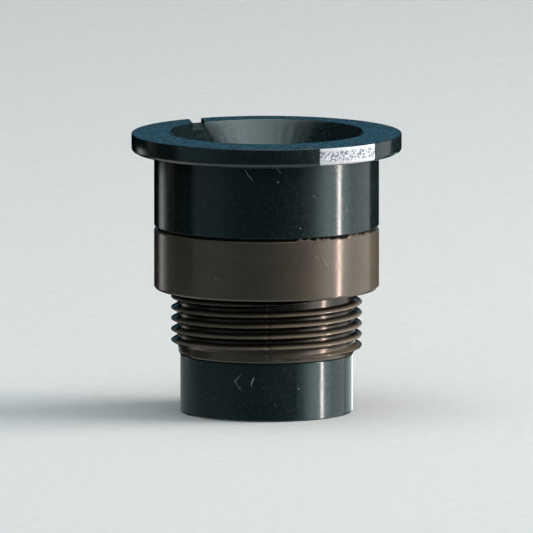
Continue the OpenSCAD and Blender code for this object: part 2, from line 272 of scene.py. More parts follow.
class Surface:
    """A Principled material and short ways to add nodes to it."""

    def __init__(self, name):
        self.material = bpy.data.materials.new(name)
        self.material.use_nodes = True
        self.tree = self.material.node_tree
        self.shader = self.tree.nodes["Principled BSDF"]

    def node(self, kind, inputs=None, **settings):
        made = self.tree.nodes.new("ShaderNode" + kind)
        for key, value in settings.items():
            setattr(made, key, value)
        for key, value in (inputs or {}).items():
            self.feed(made.inputs[key], value)
        return made

    def feed(self, socket, value):
        if isinstance(value, bpy.types.NodeSocket):
            self.tree.links.new(value, socket)
        else:
            socket.default_value = value

    def set(self, **values):
        for key, value in values.items():
            self.feed(self.shader.inputs[key.replace("_", " ").title()], value)

    def place(self, from_uv, scale=(1, 1, 1), turn=0):
        """Texture coordinates in millimetres: round the axis and along the outline, or as they lie."""
        if from_uv:
            where = self.node("UVMap", uv_map="Around").outputs["UV"]
            factor = scale
        else:
            where = self.node("TexCoord").outputs["Object"]
            factor = tuple(s / MM for s in scale)
        inputs = {"Vector": where, "Scale": tuple(1 / f for f in factor), "Rotation": (0, 0, turn)}
        return self.node("Mapping", inputs, vector_type="TEXTURE").outputs["Vector"]

    def noise(self, vector, scale, detail=3, roughness=0.55, distortion=0):
        inputs = {
            "Vector": vector, "Scale": scale, "Detail": detail,
            "Roughness": roughness, "Distortion": distortion,
        }
        return self.node("TexNoise", inputs).outputs["Fac"]

    def ramp(self, value, low, high, start=0.0, end=1.0):
        """Value from low..high mapped to start..end, and held outside."""
        inputs = {"Value": value, "From Min": low, "From Max": high, "To Min": start, "To Max": end}
        return self.node("MapRange", inputs).outputs["Result"]

    def math(self, operation, a, b=0.0):
        return self.node("Math", {0: a, 1: b}, operation=operation).outputs["Value"]

    def radius(self, place):
        """Distance from the part's axis, from a node whose outputs are X, Y and Z."""
        x, y = place.outputs["X"], place.outputs["Y"]
        return self.math("SQRT", self.math("ADD", self.math("MULTIPLY", x, x), self.math("MULTIPLY", y, y)))

    def tilt(self):
        """Upward part of the surface's normal: 1 where it faces up, and -1 where it faces down."""
        normal = self.node("NewGeometry").outputs["Normal"]
        return self.node("SeparateXYZ", {"Vector": normal}).outputs["Z"]

    def choose(self, factor, a, b):
        """Value a where the factor is 0, and b where it is 1."""
        return self.math("ADD", a, self.math("MULTIPLY", factor, self.math("SUBTRACT", b, a)))

    def mix(self, factor, a, b):
        made = self.tree.nodes.new("ShaderNodeMix")
        made.data_type = "RGBA"
        self.feed(made.inputs[0], factor)
        self.feed(made.inputs[6], a)
        self.feed(made.inputs[7], b)
        return made.outputs[2]

    def bump(self, height, distance, strength=1.0, below=None):
        inputs = {"Height": height, "Distance": distance, "Strength": strength}
        if below is not None:
            inputs["Normal"] = below
        return self.node("Bump", inputs).outputs["Normal"]

    def scratches(self, from_uv, turn, length=0.5, width=14, rarity=0.7):
        """Mask of a few thin straight scratches that lie along one direction."""
        streaks = self.noise(self.place(from_uv, (length, width, 1), turn), 1.0, 1, 0.3)
        patches = self.ramp(self.noise(self.place(from_uv, (1, 1, 1), turn), 0.45, 1), 0.55, 0.68)
        return self.math("MULTIPLY", self.ramp(streaks, rarity, rarity + 0.05), patches)


def colour(red, green, blue):
    """Linear colour from display values of 0 to 255."""
    def linear(c):
        c = c / 255
        return c / 12.92 if c <= 0.04045 else ((c + 0.055) / 1.055) ** 2.4
    return (linear(red), linear(green), linear(blue), 1)


def thread_painted_light(s, base):
    """Pales a colour along the crests of the male thread as a painted highlight, and darkens it between and
    under them as painted shade.
    """
    place = s.node("SeparateXYZ", {"Vector": s.place(False)})
    across = s.radius(place)
    tilt = s.tilt()
    above = s.ramp(place.outputs["Z"], COLLAR_Z / MM + 0.75, COLLAR_Z / MM + 1.0)
    below = s.ramp(place.outputs["Z"], SHOULDER_Z / MM + 0.1, SHOULDER_Z / MM)
    thread = s.math("MULTIPLY", above, below)
    # painted shade: deep in the grooves, and on the flanks that face down
    deep = s.ramp(across, CREST_R / MM - 0.36, CREST_R / MM - 0.14, 1, 0)
    under = s.ramp(tilt, -0.5, -0.8, 0, 0.9)
    dark = s.math("MULTIPLY", thread, s.math("MAXIMUM", deep, under))
    # painted highlight along the crests, then near-black painted shade over the grooves and downward flanks
    crest = s.math("MULTIPLY", thread, s.ramp(across, CREST_R / MM - 0.2, CREST_R / MM - 0.08))
    paler = s.mix(s.math("MULTIPLY", crest, 0.8), base, colour(138, 125, 108))
    return s.mix(s.math("MULTIPLY", dark, 0.95), paler, colour(7, 6, 5))


def worn_rim(s):
    """Mask of the rim round the bowl, and of the rough floor of the notch across it."""
    height = s.node("SeparateXYZ", {"Vector": s.place(False)}).outputs["Z"]
    tilt = s.tilt()
    level = s.ramp(tilt, 0.9, 0.97)
    rim = s.math("MULTIPLY", level, s.ramp(height, RIM_Z / MM - 0.12, RIM_Z / MM - 0.05))
    floor = s.math("MULTIPLY", level, s.ramp(height, TOP_Z / MM - 0.4, TOP_Z / MM - 0.45))
    above_bowl_floor = s.ramp(height, BOWL_FLOOR_Z / MM + 1, BOWL_FLOOR_Z / MM + 1.1)
    return rim, s.math("MULTIPLY", floor, above_bowl_floor)


def moulded_plastic(
    name, dark, light, roughness, from_uv=True, gloss_tint=(1, 1, 1), painted_light=None, wear=None
):
    """Moulded plastic with cloudy colour, handling scratches, specks of dust and an uneven gloss."""
    s = Surface(name)
    flat = s.place(from_uv)
    cloud = s.noise(flat, 0.28, 4, 0.6)
    grain = s.noise(flat, 7, 3, 0.6)
    base = s.mix(s.ramp(cloud, 0.35, 0.68), dark, light)
    film = s.ramp(s.noise(flat, 2.6, 5, 0.75), 0.5, 0.72, 0, 0.22)
    base = s.mix(film, base, colour(104, 114, 115))
    # painted highlight and painted shade on the thread, where the material is given them
    if painted_light:
        base = painted_light(s, base)
    marks = s.scratches(from_uv, 0.5)
    for turn in (1.2, 2.1, 2.75):
        marks = s.math("MAXIMUM", marks, s.scratches(from_uv, turn))
    specks = s.node("TexVoronoi", {"Vector": flat, "Scale": 1.9, "Randomness": 1.0})
    size = s.node("TexWhiteNoise", {"Vector": specks.outputs["Position"]}).outputs["Value"]
    limit = s.ramp(size, 0.72, 1.0, 0.0, 0.11)
    dust = s.math("LESS_THAN", specks.outputs["Distance"], limit)
    worn = s.mix(s.math("MULTIPLY", marks, 0.06), base, colour(128, 138, 140))
    dusty = s.mix(s.math("MULTIPLY", dust, 0.4), worn, colour(150, 160, 162))
    smear = s.noise(s.place(from_uv, (0.35, 0.9, 1), 0.3), 1.0, 3, 0.6, 0.6)
    rough = s.ramp(smear, 0.3, 0.75, roughness * 0.75, roughness * 1.35)
    rough = s.math("ADD", rough, s.math("MULTIPLY", marks, 0.18))
    waves = s.bump(s.noise(s.place(from_uv, (0.5, 0.16, 1)), 1.0, 2, 0.5), 0.010 * MM)
    fine = s.bump(grain, 0.0012 * MM, 1.0, waves)
    carved = s.bump(s.math("SUBTRACT", 1.0, marks), 0.002 * MM, 1.0, fine)
    if wear:
        rim, notch_floor = wear(s)
        rough = s.math("MAXIMUM", rough, s.math("MULTIPLY", notch_floor, 0.7))
        dents = s.noise(s.place(False), 1.4, 3, 0.6)
        carved = s.bump(s.math("MULTIPLY", dents, rim), 0.1 * MM, 1.0, carved)
        dull = s.ramp(s.noise(s.place(False), 2.0, 4, 0.7), 0.5, 0.6, 0, 0.5)
        rough = s.math("MAXIMUM", rough, s.math("MULTIPLY", dull, rim))
    s.set(base_color=dusty, roughness=rough, normal=carved)
    s.shader.inputs["Specular Tint"].default_value = (*gloss_tint, 1)
    return s.material


def steel(name, tint, roughness, scale):
    """Turned stainless steel with fine concentric tool marks."""
    s = Surface(name)
    place = s.place(False)
    split = s.node("SeparateXYZ", {"Vector": place})
    across = s.math("MULTIPLY", s.radius(split), scale)
    rings = s.node("CombineXYZ", {"X": across, "Z": split.outputs["Z"]})
    turned = s.noise(rings.outputs["Vector"], 4.0, 4, 0.7)
    stain = s.noise(place, 0.6, 3, 0.6)
    base = s.mix(s.ramp(stain, 0.35, 0.7), tint, tuple(c * 0.72 for c in tint[:3]) + (1,))
    s.set(base_color=base, roughness=s.ramp(turned, 0.3, 0.7, roughness * 0.7, roughness * 1.3))
    s.set(normal=s.bump(turned, 0.004 * MM))
    s.shader.inputs["Metallic"].default_value = 1.0
    return s.material


def woven_steel(name, pitch):
    """Woven wire: two crossed rows of wires, with painted shade in the gaps between them, for the dark
    inside seen through the openings.
    """
    s = Surface(name)
    split = s.node("SeparateXYZ", {"Vector": s.place(False)})
    around = s.math("MULTIPLY", s.math("ARCTAN2", split.outputs["Y"], split.outputs["X"]), 4.3)
    flat = s.math("GREATER_THAN", s.math("ABSOLUTE", s.tilt()), 0.7)
    u = s.choose(flat, around, split.outputs["X"])
    v = s.choose(flat, split.outputs["Z"], split.outputs["Y"])
    warp = s.math("ABSOLUTE", s.math("SINE", s.math("MULTIPLY", u, math.pi / pitch)))
    weft = s.math("ABSOLUTE", s.math("SINE", s.math("MULTIPLY", v, math.pi / pitch)))
    wires = s.math("MAXIMUM", warp, weft)
    cover = s.ramp(wires, 0.62, 0.8)
    stain = s.ramp(s.noise(s.place(False), 1.1, 4, 0.6), 0.35, 0.7)
    metal = s.mix(stain, (0.56, 0.57, 0.6, 1), (0.36, 0.35, 0.34, 1))
    # painted shade: the gaps between the wires are near black, in place of the shaded inside behind the
    # mesh
    s.set(base_color=s.mix(cover, (0.012, 0.013, 0.014, 1), metal), metallic=cover)
    s.set(roughness=s.ramp(cover, 0, 1, 0.8, 0.3), normal=s.bump(wires, 0.05 * MM))
    return s.material


def rubber(name, dark, light):
    """Moulded rubber with a bloom on its surface."""
    s = Surface(name)
    place = s.place(False)
    bloom = s.noise(place, 1.2, 5, 0.65)
    s.set(base_color=s.mix(s.ramp(bloom, 0.4, 0.7), dark, light))
    s.set(roughness=s.ramp(bloom, 0.3, 0.7, 0.5, 0.75), normal=s.bump(s.noise(place, 14, 3), 0.004 * MM))
    return s.material


def stamped_foil(name):
    """Pale stamped foil with a worn, blotchy relief in its middle band."""
    s = Surface(name)
    flat = s.place(True)
    rub = s.noise(s.place(True, (1.0, 1.3, 1), 0.5), 2.3, 2, 0.45, 1.5)
    pits = s.noise(flat, 9, 3, 0.6)
    height = s.node("SeparateXYZ", {"Vector": flat}).outputs["Y"]
    band = s.math("MULTIPLY", s.ramp(height, 0.2, 0.5), s.ramp(height, 1.4, 1.15))
    strokes = s.math("MULTIPLY", s.ramp(rub, 0.48, 0.55), band)
    base = s.mix(s.ramp(pits, 0.3, 0.75), colour(250, 251, 253), colour(226, 228, 236))
    base = s.mix(s.math("MULTIPLY", strokes, 0.9), base, colour(98, 116, 138))
    s.set(base_color=base, roughness=s.ramp(pits, 0.3, 0.7, 0.35, 0.6))
    s.set(normal=s.bump(s.math("SUBTRACT", 1.0, strokes), 0.02 * MM, 1.0, s.bump(pits, 0.008 * MM)))
    return s.material


def nicked_plastic(name, pale, dark):
    """Whitened plastic of a nick or burr, paler where it was pulled the most."""
    s = Surface(name)
    place = s.place(False)
    torn = s.noise(place, 5, 4, 0.7)
    s.set(base_color=s.mix(s.ramp(torn, 0.35, 0.65), pale, dark))
    s.set(roughness=s.ramp(torn, 0.3, 0.7, 0.4, 0.7), normal=s.bump(torn, 0.006 * MM))
    return s.material


TEAL_GLOSS = (0.74, 0.96, 1.0)
WARM_GLOSS = (1.0, 0.94, 0.84)
CAP_PLASTIC = moulded_plastic(
    "cap_plastic", colour(15, 27, 28), colour(22, 34, 35), 0.12, gloss_tint=TEAL_GLOSS, wear=worn_rim)
# the brown body carries painted highlight on its thread crests and painted shade in its grooves
BODY_PLASTIC = moulded_plastic(
    "body_plastic", colour(83, 75, 65), colour(93, 84, 72), 0.15, gloss_tint=WARM_GLOSS, painted_light=thread_painted_light)
SLEEVE_PLASTIC = moulded_plastic(
    "sleeve_plastic", colour(21, 34, 35), colour(30, 43, 44), 0.12, gloss_tint=TEAL_GLOSS)
PLATE_PLASTIC = moulded_plastic("plate_plastic", colour(48, 52, 56), colour(62, 66, 70), 0.4, False)
SCREEN_PLASTIC = moulded_plastic("screen_plastic", colour(36, 44, 48), colour(48, 58, 62), 0.38, False)
ACETAL = moulded_plastic("acetal", colour(222, 219, 206), colour(236, 234, 224), 0.38, False)
STAINLESS = steel("stainless", (0.62, 0.63, 0.65, 1), 0.26, 3.0)
CLIP_STEEL = steel("clip_steel", (0.5, 0.51, 0.53, 1), 0.34, 1.0)
MESH_STEEL = woven_steel("mesh_steel", 0.36)
SEAL_RUBBER = rubber("seal_rubber", colour(18, 18, 19), colour(44, 44, 45))
DISC_RUBBER = rubber("disc_rubber", colour(132, 46, 36), colour(160, 78, 64))
FOIL = stamped_foil("stamped_foil")
BLACK_NICK = nicked_plastic("black_nick", colour(138, 150, 152), colour(92, 104, 106))
BROWN_NICK = nicked_plastic("brown_nick", colour(196, 184, 166), colour(150, 136, 120))


# ---------------------------------------------------------------- cap

def wavy_rim(outline):
    """The outline with more rings over the flat of the rim, whose height wanders a little."""
    dice = random.Random(11)
    swells = [(dice.randint(16, 64), dice.uniform(0, 6.3), dice.uniform(-9, 9)) for _ in range(12)]
    rings = []
    for (r, z), (next_r, next_z) in zip(outline, outline[1:] + outline[:1]):
        rings.append((r, z))
        if z < RIM_Z - 0.05 * MM or r - next_r < 1.5 * MM:
            continue
        for t in np.linspace(0, 1, 14)[1:-1]:
            swell = sum(np.sin(k * EVEN_ANGLES + start + across * t) for k, start, across in swells)
            rise = 0.0022 * MM * math.sin(math.pi * t) ** 0.5 * swell
            rings.append((r + (next_r - r) * t, z + (next_z - z) * t + rise))
    return rings


def build_cap():
    """Black cap: flange, bowl, barrel and the ramp that throws the water out."""
    clip_pocket_r, clip_pocket_z = 3.4 * MM, PLATE_TOP_Z + 0.85 * MM
    gland_z = clip_pocket_z + 0.75 * MM
    pocket_r, pocket_z = HEAD_R + 0.25 * MM, BOWL_FLOOR_Z - 1.45 * MM
    shaft_r = SHAFT_R + 0.06 * MM
    outline = rounded([
        (shaft_r, clip_pocket_z, 0.04 * MM),
        (clip_pocket_r, clip_pocket_z, 0.05 * MM),
        (clip_pocket_r, PLATE_TOP_Z, 0.05 * MM),
        (PLATE_R, PLATE_TOP_Z, 0.05 * MM),
        (PLATE_R, SEAM_Z, 0.03 * MM),
        (BARREL_R - SEAM_GROOVE, SEAM_Z, 0),
        (BARREL_R, SEAM_Z + SEAM_GROOVE, 0.03 * MM),
        (BARREL_R, FLANGE_Z, 0.28 * MM),
        (FLANGE_R, FLANGE_Z, FLANGE_ROUND),
        (FLANGE_R, RIM_Z, RIM_ROUND),
        (BOWL_R, TOP_Z + 0.004 * MM, 0.3 * MM),
        (FLOOR_R, BOWL_FLOOR_Z, 0.3 * MM),
        (pocket_r, BOWL_FLOOR_Z, 0.08 * MM),
        (pocket_r, pocket_z, 0.04 * MM),
        (HEAD_R, pocket_z, 0.04 * MM),
        (HEAD_R, gland_z, 0.06 * MM),
        (shaft_r, gland_z, 0.05 * MM),
    ])
    cap = revolve("deflector_cap_skin", wavy_rim(outline))

    # the ramp over the spray window, and the hollows that lighten the cap
    far = BARREL_R + 1 * MM
    low = PLATE_TOP_Z - 0.5 * MM
    ramp_r, ramp_z = 4.2 * MM, PLATE_TOP_Z + 0.4 * MM
    ramp_rise = (far - ramp_r) * math.tan(math.radians(28))
    ramp = [(ramp_r, low), (far, low), (far, ramp_z + ramp_rise), (ramp_r, ramp_z)]
    slope = (TOP_Z - BOWL_FLOOR_Z) / (BOWL_R - FLOOR_R)
    drop = 1.3 * MM * math.hypot(1, slope)
    inner, outer = 4.4 * MM, 7.2 * MM
    void = [(inner, low), (outer, low)]
    void += [(r, TOP_Z - (BOWL_R - r) * slope - drop) for r in (outer, inner)]
    solids = [sector_mesh(ramp, SPRAY_DIR, SPRAY_ARC)]
    for i in (-1, 0, 1):
        middle = SPRAY_DIR + math.pi + i * math.radians(89)
        solids.append(sector_mesh(void, middle, math.radians(78)))

    # the straight notch across the rim
    notch_z = TOP_Z - NOTCH_DEPTH
    over = TOP_Z + 1 * MM
    solids.append(bar_mesh(NOTCH_LENGTH, NOTCH_WIDTH, notch_z, over, NOTCH_DIR, NOTCH_MIDDLE))
    cut(cap, solids)
    finish_surface(cap)
    finish_piece(cap, "root", CAP_PLASTIC, "cap_plastic", "deflector_cap")


# ---------------------------------------------------------------- body

THREAD_PITCH = 0.907 * MM
THREAD_TURNS = 5.1
THREAD_FOOT_Z = COLLAR_Z + 0.38 * MM
CREST_FLAT = 0.08 * MM
RUN_IN = math.radians(80)
RUN_OUT = math.radians(55)
ROW_STEP = 0.02 * MM


def smooth_max(a, b, k):
    """Larger of two lengths, blended over k where they are close."""
    share = np.clip(0.5 + 0.5 * (a - b) / k, 0, 1)
    return b + (a - b) * share + k * share * (1 - share)


def parting_marks(angles, radius):
    """Moulding seam down the front and back: a narrow groove, and flash on each crest beside it."""
    high = np.clip((radius - ROOT_R) / (CREST_R - ROOT_R), 0, 1)
    for seam in (FRONT, FRONT + math.pi):
        degrees = np.degrees(np.mod(angles - seam + math.pi, 2 * math.pi) - math.pi)
        groove = np.exp(-((degrees - 1.4) / 0.9) ** 2)
        flash = np.exp(-((degrees + 1.6) / 1.6) ** 2)
        radius = radius - 0.06 * MM * groove + 0.03 * MM * flash * high
    return radius


def thread_radius(angles, z, core):
    """Radius of the threaded neck at height z, for each angle."""
    turn = np.mod(angles - FRONT, 2 * math.pi)
    last = THREAD_TURNS * 2 * math.pi
    sunk_r = ROOT_R - 0.05 * MM
    radius = np.full(len(angles), float(core))
    for k in range(int(THREAD_TURNS) + 1):
        along = turn + 2 * math.pi * k
        crest_z = THREAD_FOOT_Z + THREAD_PITCH * along / (2 * math.pi)
        rise = np.clip(np.minimum(along / RUN_IN, (last - along) / RUN_OUT), 0, 1)
        away = np.maximum(np.abs(z - crest_z) - CREST_FLAT / 2, 0)
        flank = sunk_r + (CREST_R - sunk_r) * rise - away / math.tan(math.radians(30))
        flank = np.where(rise > 0, np.minimum(flank, CREST_R - 0.005 * MM), 0)
        radius = smooth_max(radius, flank, 0.02 * MM)
    return parting_marks(angles, radius)


def body_angles():
    """Even columns round the body, with finer ones at the moulding seams."""
    fine = np.radians(np.arange(-4, 5, 0.4))
    seams = np.concatenate([FRONT + fine, FRONT + math.pi + fine])
    return np.unique(np.round(np.mod(np.concatenate([EVEN_ANGLES, seams]), 2 * math.pi), 4))


def build_body():
    """Brown body: collar, male thread, shoulder and the lower half of the barrel."""
    angles = body_angles()
    neck_z = COLLAR_Z + 0.3 * MM
    collar = rounded([
        (INLET_R, COLLAR_Z, 0),
        (COLLAR_R, COLLAR_Z, LOWER_ROUND),
        (COLLAR_R, COLLAR_Z + 0.35 * MM, 0),
    ], closed=False)
    rings = collar[:-1]
    relief_z = SHOULDER_Z - 0.3 * MM
    relief_r = ROOT_R - 0.12 * MM
    recess_z = SHOULDER_Z + 0.12 * MM
    z = neck_z
    while z < recess_z - ROW_STEP:
        core = ROOT_R if z < relief_z else relief_r
        blend = min(1, max(0, (z - neck_z) / (0.5 * MM)))
        core = COLLAR_R + (core - COLLAR_R) * blend
        rings.append((thread_radius(angles, z, core), z))
        z += ROW_STEP
    rings += rounded([
        (relief_r, recess_z - ROW_STEP / 2, 0),
        (relief_r, recess_z, 0),
        (SEAT_R, recess_z, 0),
        (SEAT_R, SHOULDER_Z, 0.03 * MM),
        (BARREL_R, SHOULDER_Z, LOWER_ROUND),
        (BARREL_R, SEAM_Z, 0.14 * MM),
        (RECESS_R, SEAM_Z, 0.05 * MM),
        (RECESS_R, PLATE_Z, 0.05 * MM),
        (SHAFT_R + 0.1 * MM, PLATE_Z, 0.05 * MM),
        (SHAFT_R + 0.1 * MM, DECK_Z, 0.05 * MM),
        (CHAMBER_R, DECK_Z, 0.1 * MM),
        (CHAMBER_R, CHAMBER_Z, 0.04 * MM),
        (INLET_R, CHAMBER_Z, 0.04 * MM),
        (INLET_R, neck_z, 0),
    ], closed=False)
    flash = flash_height(angles)
    rings = [(r, z + flash * near_seam(r, z)) for r, z in rings]
    body = revolve("threaded_body_skin", rings, angles)

    # the port in the deck, and the pockets between the body's walls
    over = PLATE_Z + 0.5 * MM
    under = DECK_Z - 1 * MM
    port = [(2.6 * MM, under), (5 * MM, under), (5 * MM, over), (2.6 * MM, over)]
    core_z = SHOULDER_Z + 1.1 * MM
    pocket = [(6.8 * MM, core_z), (7.6 * MM, core_z), (7.6 * MM, over), (6.8 * MM, over)]
    solids = [sector_mesh(port, SPRAY_DIR, math.radians(84))]
    for i in range(6):
        solids.append(sector_mesh(pocket, SPRAY_DIR + i * math.radians(60), math.radians(50)))
    cut(body, solids)
    finish_surface(body, 40)
    finish_piece(body, "root", BODY_PLASTIC, "body_plastic", "threaded_body")


def near_seam(r, z):
    """Share of the weld flash that a ring takes: all at the barrel's top edge, none elsewhere."""
    band = 0.2 * MM
    if np.ndim(r) or z < SEAM_Z - band or r < RECESS_R + 0.3 * MM:
        return 0.0
    return (z - SEAM_Z + band) / band


def flash_height(angles):
    """Uneven bead of weld flash along the seam, strongest at the front right."""
    dice = random.Random(7)
    height = np.zeros(len(angles))
    for _ in range(26):
        middle = FRONT + math.radians(dice.uniform(14, 74))
        width = math.radians(dice.uniform(0.7, 1.5))
        away = np.mod(angles - middle + math.pi, 2 * math.pi) - math.pi
        height += dice.uniform(0.05, 0.22) * MM * np.exp(-(away / width) ** 2)
    return np.minimum(height, 0.22 * MM)


# ---------------------------------------------------------------- sleeve and screen

def build_sleeve():
    """Black inlet sleeve, with the spigot that goes up into the body."""
    bore = 5.3 * MM
    seat_r = ring_high.x
    seat_z = 1.1 * MM
    outline = rounded([
        (seat_r, sleeve_low.z, 0.06 * MM),
        (SLEEVE_R, sleeve_low.z, 0.14 * MM),
        (SLEEVE_R, COLLAR_Z, 0.14 * MM),
        (INLET_R, COLLAR_Z, 0.03 * MM),
        (INLET_R, sleeve_high.z, 0.08 * MM),
        (bore, sleeve_high.z, 0.08 * MM),
        (bore, seat_z, 0.04 * MM),
        (seat_r, seat_z, 0.03 * MM),
    ])
    sleeve = revolve("lower_sleeve_skin", outline)
    finish_surface(sleeve)
    finish_piece(sleeve, "root", SLEEVE_PLASTIC, "sleeve_plastic", "lower_sleeve")


# ---------------------------------------------------------------- marking patch

def flange_edge(t):
    """Radius, height and outward slope of the flange's edge, from t = 0 under it to t = 1 over it."""
    wrap = math.radians(50)
    under = FLANGE_ROUND * wrap
    over = RIM_ROUND * wrap
    straight = RIM_Z - RIM_ROUND - FLANGE_Z - FLANGE_ROUND
    along = t * (under + straight + over)
    if along < under:
        tilt = -wrap * (1 - along / under)
        r = FLANGE_R - FLANGE_ROUND * (1 - math.cos(tilt))
        return r, FLANGE_Z + FLANGE_ROUND * (1 + math.sin(tilt)), tilt
    if along < under + straight:
        share = (along - under) / straight
        return FLANGE_R, FLANGE_Z + FLANGE_ROUND + straight * share, 0.0
    tilt = wrap * (along - under - straight) / over
    r = FLANGE_R - RIM_ROUND * (1 - math.cos(tilt))
    return r, RIM_Z - RIM_ROUND * (1 - math.sin(tilt)), tilt


def build_patch():
    """Pale stamped patch that wraps over the flange's edge, with a worn relief and no lettering."""
    middle, arc = math.radians(-52), math.radians(30)
    columns, rows = 150, 40
    width, height = arc * FLANGE_R, 1.6 * MM
    corner = 0.16 * MM
    dice = random.Random(3)
    dents = [(dice.random(), dice.uniform(0.25, 0.75), dice.uniform(0.01, 0.03)) for _ in range(70)]
    vertices, faces, uvs = [], [], []
    for i in range(rows + 1):
        for k in range(columns + 1):
            u, v = k / columns, i / rows
            a = middle + arc * (u - 0.5)
            aside = max(0.0, abs(u - 0.5) * width - (width / 2 - corner))
            upright = max(0.0, abs(v - 0.5) * height - (height / 2 - corner))
            inside = min(1.0, max(0.0, (corner - math.hypot(aside, upright)) / (0.05 * MM)))
            dent = sum(math.exp(-((u - x) ** 2 + ((v - y) * 0.2) ** 2) / (s * s)) for x, y, s in dents)
            lift = (-0.02 + inside * (0.062 - 0.02 * min(1.0, dent))) * MM
            r, z, tilt = flange_edge(v)
            r += lift * math.cos(tilt)
            z += lift * math.sin(tilt)
            vertices.append((r * math.cos(a), r * math.sin(a), z))
    for i in range(rows):
        for k in range(columns):
            a = i * (columns + 1) + k
            b = a + columns + 1
            faces.append((a, a + 1, b + 1, b))
            for p, q in ((k, i), (k + 1, i), (k + 1, i + 1), (k, i + 1)):
                uvs.append((p / columns * width / MM, q / rows * height / MM))
    patch = make_object("marking_patch_skin", vertices, faces, uvs)
    thick = patch.modifiers.new("thick", "SOLIDIFY")
    thick.thickness = 0.03 * MM
    thick.offset = -1
    apply_modifiers(patch)
    finish_surface(patch, 50)
    finish_piece(patch, "root", FOIL, "marking", "marking_patch")


# ---------------------------------------------------------------- nicks

def add_nicks(name, radius, paths, material, slot):
    """Thin burrs on a cylinder. Each path has its width, and points as degrees right of front and mm."""
    vertices, faces = [], []
    for width, points in paths:
        spots = []
        for (a0, z0), (a1, z1) in zip(points, points[1:]):
            spots += [(a0 + (a1 - a0) * t / 5, z0 + (z1 - z0) * t / 5) for t in range(5)]
        spots.append(points[-1])
        first = len(vertices)
        for i, (degrees, z) in enumerate(spots):
            a = FRONT + math.radians(degrees)
            before, after = spots[max(i - 1, 0)], spots[min(i + 1, len(spots) - 1)]
            run = math.radians(after[0] - before[0]) * radius / MM
            rise = after[1] - before[1]
            length = math.hypot(run, rise)
            size = width * MM * (0.35 + 0.65 * math.sin(math.pi * (i + 0.5) / len(spots)))
            for side, lift in ((-0.5, -0.02 * MM), (0, size * 0.35), (0.5, -0.02 * MM)):
                turn = a - side * size * rise / length / radius
                r = radius + lift
                up = z * MM + side * size * run / length
                vertices.append((r * math.cos(turn), r * math.sin(turn), up))
        for i in range(len(spots) - 1):
            for k in range(3):
                p, q = first + 3 * i + k, first + 3 * i + (k + 1) % 3
                faces.append((p, q, q + 3, p + 3))
        last = first + 3 * (len(spots) - 1)
        faces += [(first, first + 2, first + 1), (last, last + 1, last + 2)]
    nicks = make_object(name, vertices, faces)
    finish_surface(nicks, 60)
    finish_piece(nicks, "root", material, slot)


def build_nicks():
    """Nicks on the cap, the body and the sleeve."""
    cap = [
        (0.15, [(-11.5, 21.5), (-9.5, 20.9), (-6.9, 20.4)]),
        (0.14, [(3.3, 21.6), (5.2, 21.5), (7.4, 21.0)]),
        (0.2, [(5.4, 20.35), (6.2, 20.25)]),
        (0.18, [(17.0, 16.45), (17.6, 16.35)]),
        (0.1, [(24.0, 19.2), (25.4, 18.9)]),
        (0.08, [(-34.0, 18.3), (-33.0, 18.1)]),
    ]
    body = [
        (0.14, [(29.0, 13.9), (31.5, 13.3), (34.5, 12.5)]),
        (0.11, [(25.5, 14.1), (26.5, 13.7)]),
        (0.08, [(-27.0, 12.2), (-26.0, 12.0)]),
    ]
    sleeve = [
        (0.17, [(-17.2, 4.0), (-21.4, 3.35), (-17.2, 2.6)]),
        (0.2, [(-8.3, 3.75), (-9.6, 3.4), (-10.4, 3.0)]),
        (0.18, [(21.0, 2.75), (21.9, 2.7)]),
        (0.08, [(-20.3, 4.4), (-19.6, 4.35)]),
        (0.08, [(5.0, 1.5), (5.8, 1.45)]),
    ]
    add_nicks("cap_nicks", BARREL_R, cap, BLACK_NICK, "cap_plastic")
    add_nicks("body_nicks", BARREL_R, body, BROWN_NICK, "body_plastic")
    add_nicks("sleeve_nicks", SLEEVE_R, sleeve, BLACK_NICK, "sleeve_plastic")


# ---------------------------------------------------------------- inner pieces that keep their CAD shape

INNER_LOOKS = {
    "pattern_plate": PLATE_PLASTIC,
    "radius_screw": STAINLESS,
    "screw_o_ring": SEAL_RUBBER,
    "screw_clip": CLIP_STEEL,
    "throttle_plug": ACETAL,
    "disc_seat": ACETAL,
    "flow_disc": DISC_RUBBER,
    "disc_cage": ACETAL,
    "screen_frame": SCREEN_PLASTIC,
    "screen_mesh": MESH_STEEL,
}


def dress_inner_pieces():
    """Gives the CAD nodes that keep their shape their materials."""
    for node, material in INNER_LOOKS.items():
        piece = frame["nodes"][node]
        piece.data.materials.clear()
        piece.data.materials.append(material)


# ---------------------------------------------------------------- stage

CAMERA_DISTANCE = 1.9
CAMERA_ELEVATION = 7.65
FRAME_WIDTH = 44.2 * MM
AIM = Vector((0, 0, 12.05 * MM))
SENSOR = 36.0


def around(azimuth, elevation, distance):
    """Point at an azimuth to the right of the camera's direction, seen from the object."""
    a = FRONT + math.radians(azimuth)
    e = math.radians(elevation)
    return AIM + distance * Vector((math.cos(a) * math.cos(e), math.sin(a) * math.cos(e), math.sin(e)))


def point_at_object(thing):
    """Turns a camera or a light towards the aim."""
    thing.rotation_euler = (AIM - thing.location).to_track_quat("-Z", "Y").to_euler()


def make_camera():
    """Long lens from the photograph's viewing angle."""
    data = bpy.data.cameras.new("camera")
    data.sensor_width = SENSOR
    data.lens = SENSOR * CAMERA_DISTANCE / FRAME_WIDTH
    camera = bpy.data.objects.new("camera", data)
    bpy.context.scene.collection.objects.link(camera)
    camera.location = around(0, CAMERA_ELEVATION, CAMERA_DISTANCE)
    point_at_object(camera)
    bpy.context.scene.camera = camera


def soft_light(name, azimuth, elevation, distance, width, height, watts, tint=(1, 1, 1)):
    """Studio softbox that faces the object, and doesn't show in reflections."""
    data = bpy.data.lights.new(name, "AREA")
    data.shape = "RECTANGLE"
    data.size = width
    data.size_y = height
    data.energy = watts
    data.color = tint
    light = bpy.data.objects.new(name, data)
    light.location = around(azimuth, elevation, distance)
    light.visible_camera = False
    light.visible_glossy = False
    bpy.context.scene.collection.objects.link(light)
    point_at_object(light)


